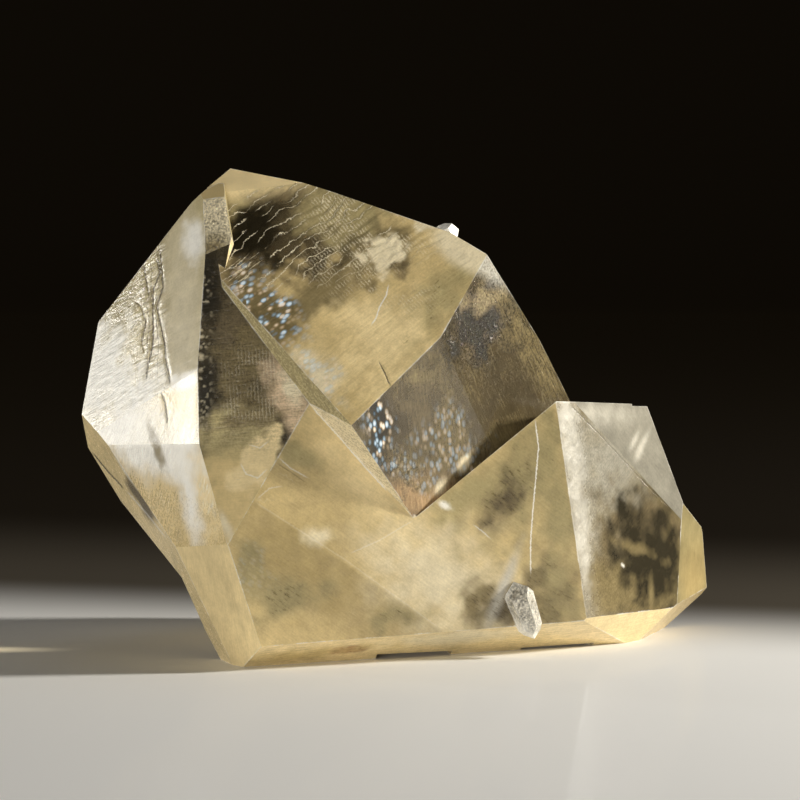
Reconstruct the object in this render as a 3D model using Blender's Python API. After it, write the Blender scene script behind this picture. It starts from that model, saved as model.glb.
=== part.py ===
"""A twinned calcite: a clear golden host crystal with a second individual grown through its top.

Both crystals are cut from a block by flat faces. A face has an azimuth (0 looks to the
front, 90 to the right, 180 to the back), a tilt (up is positive) and a corner of the
crystal that it passes through. Corners are in mm from a point on the ground under it.
"""

from math import cos, radians, sin

import bmesh
import bpy
from mathutils import Matrix, Vector

MM = 0.001

# Corners of the host crystal
RIDGE_TOP = (-25.7, -13.6, 60.9)
RIDGE_SHOULDER = (-25.4, -16.9, 53.6)
RIDGE_NECK = (-26.2, -21.0, 38.0)
RIDGE_BEND = (-25.9, -23.0, 30.1)
RIDGE_KNEE = (-22.1, -26.5, 16.7)
RIDGE_FOOT = (-20.2, -20.9, 0.0)
FOOT_CORNER = (-17.9, -25.3, 3.3)
FRONT_EDGE_TOP = (-11.7, -22.0, 34.5)
NOTCH_TIP = (1.8, -17.3, 19.0)
NOTCH_END = (20.7, -9.7, 33.8)
BLOCK_FOOT = (24.9, -9.0, 4.8)
BLOCK_TOP_RIGHT = (33.7, 5.0, 32.3)
BLOCK_END_FOOT = (38.0, 6.0, 4.6)
END_SHOULDER = (42.3, 17.2, 13.9)
END_TIP = (43.8, 20.9, 8.6)
LEFT_SHOULDER = (-41.7, 2.0, 42.8)
LEFT_TIP = (-44.7, 6.5, 29.5)
LEFT_BROW = (-43.0, -0.5, 31.6)
LEFT_WAIST = (-37.9, 0.1, 19.6)
HEEL_MIDDLE = (-28.2, -15.6, 8.7)
HEEL_FOOT = (-26.3, -15.8, 4.1)
LEFT_BEVEL = (-42.4, 1.7, 39.3)
BLOCK_TOP_LEFT = (22.5, -7.7, 33.3)
BLOCK_STEP = (31.5, 2.5, 32.3)
CREST_BEHIND = (-24.6, -11.5, 62.6)
CREST_KNEE = (-27.6, -11.7, 59.9)
PLATE_END = (-23.1, -18.0, 49.5)
SHOULDER_END = (-22.9, -14.1, 60.9)

# Corners of the upper individual
TWIN_LEFT = (-23.1, -18.6, 49.5)
TWIN_HEART = (-6.2, -25.0, 31.9)
TWIN_EDGE_BEND = (5.2, -17.95, 42.7)
TWIN_CREST_LEFT = (-23.2, -12.7, 61.4)
TWIN_CREST = (-3.4, -10.6, 59.8)
TWIN_CREST_RIGHT = (7.1, -11.0, 56.0)
TWIN_RIGHT_TOP = (11.4, -11.8, 53.4)
TWIN_RIGHT_WAIST = (18.6, -4.4, 41.7)

# Faces as azimuth, tilt and the corner that they pass through
HOST_FACES = {
    "dark front": (-0.6, 14.5, RIDGE_KNEE),
    "milky front": (20.8, 1.7, FRONT_EDGE_TOP),
    "frosted shoulder": (-4.5, 22.5, RIDGE_SHOULDER),
    "crest": (-10, 50, RIDGE_TOP),
    "crest back": (168, 44, CREST_BEHIND),
    "upper left": (-54, 11.3, RIDGE_NECK),
    "middle left": (-52.3, 7.5, RIDGE_BEND),
    "lower left": (-51.4, -4, RIDGE_KNEE),
    "left foot": (-49.8, -16.5, RIDGE_KNEE),
    "left undercut": (-69.3, -22.7, LEFT_BROW),
    "left brow": (-104.7, 8.7, LEFT_BROW),
    "left bevel": (-80, 16, LEFT_BEVEL),
    "left undercut back": (-105, -40, LEFT_TIP),
    "left crest top": (-91, 48, CREST_KNEE),
    "left crest upper": (-125.8, 48, CREST_KNEE),
    "left crest lower": (-121.8, 48.4, LEFT_SHOULDER),
    "block front": (49, 5.4, BLOCK_FOOT),
    "block front upper": (50.3, 7, BLOCK_TOP_LEFT),
    "right end": (68.3, 1.2, BLOCK_END_FOOT),
    "right end side": (99.3, 22.5, END_TIP),
    "right end tip": (107.7, -9.2, END_TIP),
    "front undercut": (23, -57, FOOT_CORNER),
    "block undercut": (48, -26, BLOCK_FOOT),
    "end undercut": (70.7, -41.7, BLOCK_END_FOOT),
    "base": (0, -90, RIDGE_FOOT),
    "back": (176, 8, (-5, 23, 20)),
    "back left": (-150, 6, (-30, 18, 20)),
    "back right": (140, 12, (34, 24, 15)),
    "back undercut": (178, -48, (0, 20, 3)),
}
TWIN_FACES = {
    "growth front": (8.2, 26.4, TWIN_HEART),
    "clear right": (36.7, -6.1, NOTCH_TIP),
    "clear right upper": (45.4, -0.5, TWIN_EDGE_BEND),
    "riser upper": (-33.2, -11.1, TWIN_HEART),
    "riser lower": (-49.5, -40.7, NOTCH_TIP),
    "slab side": (-90, -10, TWIN_LEFT),
    "crest": (4.6, 46.5, TWIN_CREST_LEFT),
    "crest left": (-120.4, 23.6, (-22.6, -9.5, 64.3)),
    "crest back": (162.5, 43.2, TWIN_CREST),
    "crest back right": (155.4, 48.7, TWIN_CREST_RIGHT),
    "crest end": (135.2, 45.2, TWIN_RIGHT_TOP),
    "right back upper": (117, 40, TWIN_RIGHT_WAIST),
    "right back": (107.3, 32.6, TWIN_RIGHT_WAIST),
    "back": (176, 8, (-5, 21.8, 20)),
    "back left": (-150, 6, (-29.5, 17.1, 20)),
    "inner left": (-120, -50, (-29, 18, 26)),
    "keel": (0, -90, (0, 0, 9)),
}

# Hollows of the host: what lies outside all the faces of one is cut away
HOST_HOLLOWS = {
    "twin notch": {
        "host wall": (90, 39.8, (2.2, -17.1, 19.2)),
        "plate end": (62, -2.2, PLATE_END),
        "rear wall": (0, 0, (0, 12, 30)),
        "block wall": (-108.4, 46.4, NOTCH_TIP),
    },
    "shoulder notch": {
        "shoulder end": (85, 12.8, SHOULDER_END),
        "rear wall": (0, 0, (0, 11, 30)),
        "shelf": (0, 90, PLATE_END),
    },
    "block top": {
        "host wall": (90, 26.3, (9, -12, 26)),
        "block top": (-142, 67.9, NOTCH_END),
    },
    "block shoulder": {
        "block side": (102.6, 23.6, BLOCK_TOP_RIGHT),
        "end top": (103.3, 49.4, END_SHOULDER),
    },
    "block step": {
        "step wall": (90, 0, BLOCK_STEP),
        "step floor": (-142, 67.9, BLOCK_STEP),
    },
    "left waist": {
        "waist": (-112, -57, LEFT_WAIST),
        "heel": (-99.4, -23.2, HEEL_MIDDLE),
    },
    "left ankle": {
        "waist": (-112, -57, LEFT_WAIST),
        "heel foot": (-100, -30, HEEL_FOOT),
    },
    "foot gap": {
        "gap roof": (6, -86.5, (0, -2, 0)),
        "gap left": (100, 0, (-3.5, -12, 0)),
        "gap right": (-80, 0, (6.5, -8, 0)),
    },
    "block gap": {
        "gap roof": (30, -86, (22, 2.5, 0)),
        "gap left": (100, 0, (16.5, -7, 0)),
        "gap right": (-60, 0, (27, -3, 0)),
    },
}

# Small crystals as a centre, length, width, taper in degrees and leans to the right and back
SMALL_CRYSTALS = {
    "front crystal": ((16.4, -12.6, 6.3), 8.2, 3.2, -4, -20, -4),
    "crest crystal": ((6.0, -9.6, 55.9), 3.8, 2.4, 0, 70, 10),
}
SMALL_END_TILT = 40

BLOCK_HALF = 90.0
CRYSTAL_COLOUR = (0.79, 0.66, 0.39, 1.0)


def face_normal(azimuth, tilt):
    a = radians(azimuth)
    t = radians(tilt)
    return Vector((sin(a) * cos(t), -cos(a) * cos(t), sin(t)))


def cut_flat(mesh, corner, normal):
    """Takes off what lies outside one face and closes the cut."""
    cut = bmesh.ops.bisect_plane(
        mesh,
        geom=mesh.verts[:] + mesh.edges[:] + mesh.faces[:],
        plane_co=Vector(corner) * MM,
        plane_no=normal,
        clear_outer=True,
    )
    rim = [piece for piece in cut["geom_cut"] if isinstance(piece, bmesh.types.BMEdge)]
    bmesh.ops.contextual_create(mesh, geom=rim)


def new_block():
    mesh = bmesh.new()
    bmesh.ops.create_cube(mesh, size=2 * BLOCK_HALF * MM)
    return mesh


def finish_block(mesh, name, collection):
    bmesh.ops.recalc_face_normals(mesh, faces=mesh.faces[:])
    data = bpy.data.meshes.new(name)
    mesh.to_mesh(data)
    mesh.free()
    crystal = bpy.data.objects.new(name, data)
    collection.objects.link(crystal)
    return crystal


def cut_crystal(name, faces, collection, side=1):
    """A convex block cut by faces. With side -1 it is the space outside all of them."""
    mesh = new_block()
    for azimuth, tilt, corner in faces.values():
        cut_flat(mesh, corner, side * face_normal(azimuth, tilt))
    return finish_block(mesh, name, collection)


def small_crystal(name, centre, length, width, taper, right, back, collection):
    """A six-sided crystal with three-faced ends, leaning to the right and back."""
    mesh = new_block()
    for k in range(6):
        normal = face_normal(60 * k, taper)
        cut_flat(mesh, normal * width / 2, normal)
    for k in range(3):
        for turn, tilt in ((0, SMALL_END_TILT), (60, -SMALL_END_TILT)):
            normal = face_normal(120 * k + turn, tilt)
            cut_flat(mesh, normal * length / 2 * sin(radians(SMALL_END_TILT)), normal)
    lean = Matrix.Rotation(radians(right), 4, "Y") @ Matrix.Rotation(radians(-back), 4, "X")
    bmesh.ops.transform(mesh, matrix=Matrix.Translation(Vector(centre) * MM) @ lean, verts=mesh.verts[:])
    return finish_block(mesh, name, collection)


def join(target, tool, operation):
    step = target.modifiers.new(f"{operation.lower()} {tool.name}", "BOOLEAN")
    step.operation = operation
    step.solver = "EXACT"
    step.object = tool
    tool.hide_render = True
    tool.display_type = "WIRE"


def calcite_material():
    material = bpy.data.materials.new("golden calcite")
    material.use_nodes = True
    shader = material.node_tree.nodes["Principled BSDF"]
    shader.inputs["Base Color"].default_value = CRYSTAL_COLOUR
    shader.inputs["Roughness"].default_value = 0.08
    shader.inputs["Metallic"].default_value = 0.0
    return material


def seat(crystals):
    """Moves the crystals so that the joined solid stands on the ground, centred on the origin."""
    solid = crystals[0].evaluated_get(bpy.context.evaluated_depsgraph_get())
    corners = [Vector(corner) for corner in solid.bound_box]
    low = Vector(map(min, zip(*corners)))
    high = Vector(map(max, zip(*corners)))
    middle = (low + high) / 2
    shift = Matrix.Translation((-middle.x, -middle.y, -low.z))
    for crystal in crystals:
        crystal.data.transform(shift)


def new_collection(name):
    collection = bpy.data.collections.new(name)
    bpy.context.scene.collection.children.link(collection)
    return collection


def clear_scene():
    for old in list(bpy.data.objects):
        bpy.data.objects.remove(old, do_unlink=True)


def main():
    clear_scene()
    parts = new_collection("twinned_calcite")
    cutters = new_collection("cutters")
    host = cut_crystal("calcite_twin", HOST_FACES, parts)
    for name, faces in HOST_HOLLOWS.items():
        join(host, cut_crystal(name, faces, cutters, side=-1), "DIFFERENCE")
    join(host, cut_crystal("upper twin", TWIN_FACES, cutters), "UNION")
    for name, sizes in SMALL_CRYSTALS.items():
        join(host, small_crystal(name, *sizes, cutters), "UNION")
    host.data.materials.append(calcite_material())
    seat([host] + list(cutters.objects))


main()
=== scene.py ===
from functools import reduce
from itertools import product
from math import atan, cos, radians, sin

import bmesh
import bpy
import numpy as np
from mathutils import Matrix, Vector


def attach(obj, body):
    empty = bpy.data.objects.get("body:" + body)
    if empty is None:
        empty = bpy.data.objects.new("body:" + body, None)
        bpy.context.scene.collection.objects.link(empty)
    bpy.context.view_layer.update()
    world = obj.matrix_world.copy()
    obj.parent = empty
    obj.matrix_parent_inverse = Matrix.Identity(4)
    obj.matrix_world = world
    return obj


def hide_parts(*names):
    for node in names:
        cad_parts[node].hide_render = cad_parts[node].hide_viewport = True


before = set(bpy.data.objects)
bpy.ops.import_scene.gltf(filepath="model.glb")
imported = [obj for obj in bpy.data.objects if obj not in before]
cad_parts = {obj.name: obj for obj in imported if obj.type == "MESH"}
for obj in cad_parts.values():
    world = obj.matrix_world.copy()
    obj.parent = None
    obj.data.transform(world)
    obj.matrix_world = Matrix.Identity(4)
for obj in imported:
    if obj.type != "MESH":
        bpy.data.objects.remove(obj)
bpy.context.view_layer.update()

mm = 0.001
scene = bpy.context.scene

# The photo's camera: mm and degrees, the near clip in m. The photo is as high as it is wide, in pixels
cameraView = {"target": (-0.097, 0.382, 33.2), "distance": 500, "elevation": 4.5, "lens": 166.67,
              "sensor": 36, "nearClip": 0.01}
photoWidth = 800
pixelSize = cameraView["distance"] * cameraView["sensor"] / cameraView["lens"] / photoWidth  # in mm


def faceNormal(azimuth, tilt):
    # azimuth 0 looks to the front, 90 to the right; tilt is up
    a, t = radians(azimuth), radians(tilt)
    return Vector((sin(a) * cos(t), -cos(a) * cos(t), sin(t)))


def aim(thing, spot, target):
    thing.location = Vector(spot) * mm
    thing.rotation_euler = (Vector(target) - Vector(spot)).to_track_quat("-Z", "Y").to_euler()


def addCamera():
    data = bpy.data.cameras.new("photoCamera")
    data.lens = cameraView["lens"]
    data.sensor_width = cameraView["sensor"]
    data.clip_start = cameraView["nearClip"]
    camera = bpy.data.objects.new("photoCamera", data)
    scene.collection.objects.link(camera)
    target = Vector(cameraView["target"])
    spot = target + faceNormal(0, cameraView["elevation"]) * cameraView["distance"]
    aim(camera, spot, target)
    scene.camera = camera


# Softboxes: place, what they point at, width and height, all in mm, then watts and colour
studioLights = {
    "keyRight": {"spot": (460, 20, 190), "target": (0, 0, 20), "size": (60, 60), "power": 3.35,
                 "colour": (1, 0.95, 0.86)},
    "topSoft": {"spot": (60, 200, 460), "target": (0, 0, 0), "size": (300, 200), "power": 0.12,
                "colour": (1, 0.98, 0.95)},
    "leftCard": {"spot": (-404, 152, 44), "target": (-38, -6, 30), "size": (40, 22), "power": 0.5,
                 "colour": (1, 0.97, 0.9)},
    "frontFill": {"spot": (-170, -540, 50), "target": (0, 0, 32), "size": (240, 90), "power": 1.35,
                  "colour": (1, 0.97, 0.92)},
}
# The streak of light that the crystal throws on the floor to its left comes from a narrow lamp above it
throwLight = {"spot": (-74, -5, 60), "power": 0.14, "colour": (1, 0.82, 0.5), "width": 9, "length": 64,
              "blend": 1.0}


def addLamp(name, kind, look):
    data = bpy.data.lights.new(name, kind)
    data.energy = look["power"]
    data.color = look["colour"]
    lamp = bpy.data.objects.new(name, data)
    scene.collection.objects.link(lamp)
    return data, lamp


def addLights():
    for name, light in studioLights.items():
        data, lamp = addLamp(name, "AREA", light)
        data.shape = "RECTANGLE"
        data.size, data.size_y = (side * mm for side in light["size"])
        aim(lamp, light["spot"], light["target"])
    data, lamp = addLamp("throwLight", "SPOT", throwLight)
    data.spot_blend = throwLight["blend"]
    data.spot_size = 2 * atan(throwLight["length"] / 2 / throwLight["spot"][2])
    data.shadow_soft_size = mm
    lamp.location = Vector(throwLight["spot"]) * mm
    lamp.scale = (1, throwLight["width"] / throwLight["length"], 1)


# The pale glossy floor. Behind the crystal its colour is painted darker, a painted fall-off of the light
# into
# the dark: distances in mm back, and colours
floorLook = {"bright": 0, "dusk": 56, "dark": 150, "slant": 0.27, "pale": (0.95, 0.955, 0.955),
             "dim": (0.075, 0.066, 0.053), "far": (0.012, 0.010, 0.008), "roughness": 0.08, "ior": 1.02}
# Its sheet runs back level, then sweeps up into the dark backdrop: all in m
sweep = {"width": 8, "front": -3, "bend": 0.8, "radius": 0.5, "top": 2.5, "steps": 24}
roomGlow = (0.0030, 0.0021, 0.0010)
lightBounces = {"clear": 24, "glossy": 16}


def addFloor():
    mesh = bmesh.new()
    bends = [radians(90 * step / sweep["steps"]) for step in range(sweep["steps"] + 1)]
    profile = [(sweep["front"], 0)]
    profile += [(sweep["bend"] + sweep["radius"] * sin(a), sweep["radius"] * (1 - cos(a))) for a in bends]
    profile.append((sweep["bend"] + sweep["radius"], sweep["top"]))
    half = sweep["width"] / 2
    rows = [[mesh.verts.new((x, y, z)) for x in (-half, half)] for y, z in profile]
    for near, beyond in zip(rows, rows[1:]):
        mesh.faces.new((near[0], near[1], beyond[1], beyond[0])).smooth = True
    data = bpy.data.meshes.new("floor")
    mesh.to_mesh(data)
    mesh.free()
    floorPlate = bpy.data.objects.new("floor", data)
    scene.collection.objects.link(floorPlate)
    material = bpy.data.materials.new("paleFloor")
    material.use_nodes = True
    tree = material.node_tree
    shader = tree.nodes["Principled BSDF"]
    place = tree.nodes.new("ShaderNodeTexCoord")
    back = tree.nodes.new("ShaderNodeVectorMath")
    back.operation = "DOT_PRODUCT"
    back.inputs[1].default_value = (floorLook["slant"], 1, 0)
    link = tree.links.new
    link(place.outputs["Object"], back.inputs[0])
    colour = floorLook["pale"]
    # painted shade: the floor's colour darkens from pale to dim to far the further back it lies
    for start, end, shade in (("bright", "dusk", "dim"), ("dusk", "dark", "far")):
        fade = tree.nodes.new("ShaderNodeMapRange")
        fade.interpolation_type = "SMOOTHSTEP"
        fade.inputs["From Min"].default_value = floorLook[start] * mm
        fade.inputs["From Max"].default_value = floorLook[end] * mm
        mix = tree.nodes.new("ShaderNodeMix")
        mix.data_type = "RGBA"
        mix.inputs["B"].default_value = (*floorLook[shade], 1)
        if isinstance(colour, tuple):
            mix.inputs["A"].default_value = (*colour, 1)
        else:
            link(colour, mix.inputs["A"])
        link(back.outputs["Value"], fade.inputs["Value"])
        link(fade.outputs["Result"], mix.inputs["Factor"])
        colour = mix.outputs["Result"]
    link(colour, shader.inputs["Base Color"])
    # the floor also glows faintly in the room's colour, a painted light
    shader.inputs["Emission Color"].default_value = (*roomGlow, 1)
    shader.inputs["Emission Strength"].default_value = 1.0
    shader.inputs["Roughness"].default_value = floorLook["roughness"]
    shader.inputs["IOR"].default_value = floorLook["ior"]
    data.materials.append(material)


def setWorld():
    world = bpy.data.worlds.new("studio")
    scene.world = world
    world.use_nodes = True
    sky = world.node_tree.nodes["Background"]
    sky.inputs["Color"].default_value = (*roomGlow, 1)
    scene.view_settings.view_transform = "Standard"
    scene.view_settings.look = "None"
    scene.cycles.max_bounces = lightBounces["clear"]
    scene.cycles.transmission_bounces = lightBounces["clear"]
    scene.cycles.glossy_bounces = lightBounces["glossy"]
    scene.cycles.caustics_refractive = False


# Colours of the scattering zones, and of the clear calcite itself. Besides the crystal's own colours, some
# stand in for light and shade: the white zones paint highlights, pale and flesh on the front faces paint
# glow and glints, dark and smoke paint shade
blooms = {
    "gold": (0.73, 0.565, 0.27),
    "lightGold": (0.86, 0.69, 0.37),
    "deepGold": (0.62, 0.475, 0.21),
    "pale": (0.82, 0.715, 0.48),
    "white": (0.95, 0.92, 0.83),
    "beige": (0.71, 0.625, 0.42),
    "frosty": (0.62, 0.585, 0.49),
    "silver": (0.40, 0.375, 0.30),
    "flesh": (0.72, 0.54, 0.34),
    "amber": (0.52, 0.34, 0.17),
    "umber": (0.28, 0.22, 0.105),
    "olive": (0.47, 0.39, 0.19),
    "brown": (0.18, 0.14, 0.075),
    "smoke": (0.085, 0.068, 0.036),
    "dark": (0.035, 0.029, 0.016),
    "rust": (0.42, 0.24, 0.11),
}
clearCalcite = {"ior": 1.6, "absorbs": (0.93, 0.84, 0.56), "density": 18.0}


def finish(looks, mesh, turn, haze, bloom, frost, grain, streak, relief, wisp=0.0, glint=0.0):
    return {"looks": looks, "mesh": mesh, "turn": turn, "haze": haze, "bloom": bloom, "frost": frost,
            "grain": grain, "streak": streak, "relief": relief, "wisp": wisp, "glint": glint}


# Every face of the crystal. looks: azimuth and tilt. mesh: edge length in mm. turn: angle of its striae.
# haze: share that scatters. frost: roughness. grain and streak: how strong the fine marks are. relief: mm.
# wisp and glint: how thick its dark fibres are, and its pale fibres and painted glints
crystalFaces = {
    "growthFace": finish((8.2, 26.4), 0.32, 37, 0.78, "gold", 0.09, 0.18, 0.3, 0.025),
    "crest": finish((4.6, 46.5), 0.6, 10, 0.97, "lightGold", 0.3, 0.12, 0.1, 0.01),
    "hostCrest": finish((-10, 50), 0.6, 10, 0.95, "gold", 0.3, 0.15, 0.1, 0.01),
    "shoulder": finish((-4.5, 22.5), 0.25, 60, 0.97, "beige", 0.35, 2.0, 0.1, 0.05, 0.1, 0.35),
    "shoulderEnd": finish((85, 12.8), 0.4, 60, 0.9, "olive", 0.3, 0.5, 0.3, 0.02),
    "plateEnd": finish((62, -2.2), 0.4, 80, 0.98, "lightGold", 0.2, 0.1, 0.3, 0.01),
    # the dark face's smoke colour paints shade where the dark backdrop shows through it
    "darkFace": finish((-0.6, 14.5), 0.4, 4, 0.66, "smoke", 0.16, 0.5, 0.7, 0.012, 0.2, 0.1),
    "milkyFace": finish((20.8, 1.7), 0.65, -35, 0.75, "gold", 0.09, 0.14, 0.22, 0.008, 0.0, 0.12),
    "clearFace": finish((36.7, -6.1), 0.5, -78, 0.45, "brown", 0.08, 0.3, 0.8, 0.008, 0.35, 0.2),
    "clearUpper": finish((45.4, -0.5), 0.5, -58, 0.45, "brown", 0.05, 0.3, 0.8, 0.008, 0.35, 0.2),
    "riserUpper": finish((-33.2, -11.1), 0.45, -50, 0.85, "olive", 0.2, 0.3, 0.9, 0.02, 0.3, 0.2),
    "riserLower": finish((-49.5, -40.7), 0.45, -50, 0.95, "pale", 0.2, 0.15, 0.7, 0.02),
    "slabSide": finish((-90, -10), 0.8, 90, 0.9, "gold", 0.2, 0.2, 0.2, 0.01),
    "crestLeft": finish((-120.4, 23.6), 0.7, 30, 0.65, "gold", 0.14, 0.12, 0.3, 0.02),
    "leftUpper": finish((-54, 11.3), 0.4, 24, 0.92, "olive", 0.14, 0.4, 1.1, 0.01, 0.1, 0.1),
    "leftMiddle": finish((-52.3, 7.5), 0.42, 62, 0.92, "pale", 0.2, 0.5, 0.9, 0.012, 0.1, 0.2),
    "leftLower": finish((-51.4, -4), 0.42, 68, 0.9, "gold", 0.2, 0.35, 0.9, 0.03, 0.2, 0.3),
    "leftFoot": finish((-49.8, -16.5), 0.6, 80, 0.95, "lightGold", 0.16, 0.1, 0.25, 0.01),
    "leftUndercut": finish((-69.3, -22.7), 0.6, -55, 0.94, "lightGold", 0.18, 0.3, 0.8, 0.02, 0.1, 0.2),
    "leftBrow": finish((-104.7, 8.7), 0.8, 60, 0.65, "gold", 0.12, 0.15, 0.4, 0.04),
    "leftBevel": finish((-80, 16), 0.5, 60, 0.85, "beige", 0.12, 0.4, 0.6, 0.03),
    "blockFace": finish((49, 5.4), 0.45, 35, 0.66, "umber", 0.09, 0.2, 0.4, 0.012),
    "blockUpper": finish((50.3, 7), 0.6, -45, 0.6, "silver", 0.06, 0.15, 0.25, 0.015),
    "endFace": finish((68.3, 1.2), 0.6, 80, 0.7, "olive", 0.12, 0.1, 0.2, 0.012),
    "frontUndercut": finish((23, -57), 0.7, 5, 0.93, "lightGold", 0.12, 0.2, 0.6, 0.03),
    "blockUndercut": finish((48, -26), 0.7, 5, 0.93, "lightGold", 0.14, 0.2, 0.4, 0.03),
    "endUndercut": finish((70.7, -41.7), 0.7, 0, 0.95, "gold", 0.14, 0.2, 0.3, 0.02),
    "hidden": finish(None, 1.6, 30, 0.42, "gold", 0.13, 0.1, 0.3, 0.05),
    "small": finish(None, 0.45, 70, 0.95, "white", 0.3, 0.7, 0.3, 0.03),
}
faceNames = list(crystalFaces)
faceMatch = 0.6  # degrees by which a face may look elsewhere than its entry says
faintEdge = 13  # edges that turn less than this many degrees carry no painted edge highlight
# Centre and reach of each small crystal, in mm
smallCrystals = {"front": ((16.3, -12.2, 6.3), 5.0), "crest": ((5.9, -9.2, 55.9), 2.8)}


def zone(at, half, turn, haze, bloom, ragged=0.6, soft=0.7, **more):
    return {"at": at, "half": half, "turn": turn, "haze": haze, "bloom": bloom,
            "ragged": ragged, "soft": soft, "more": more}
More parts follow.
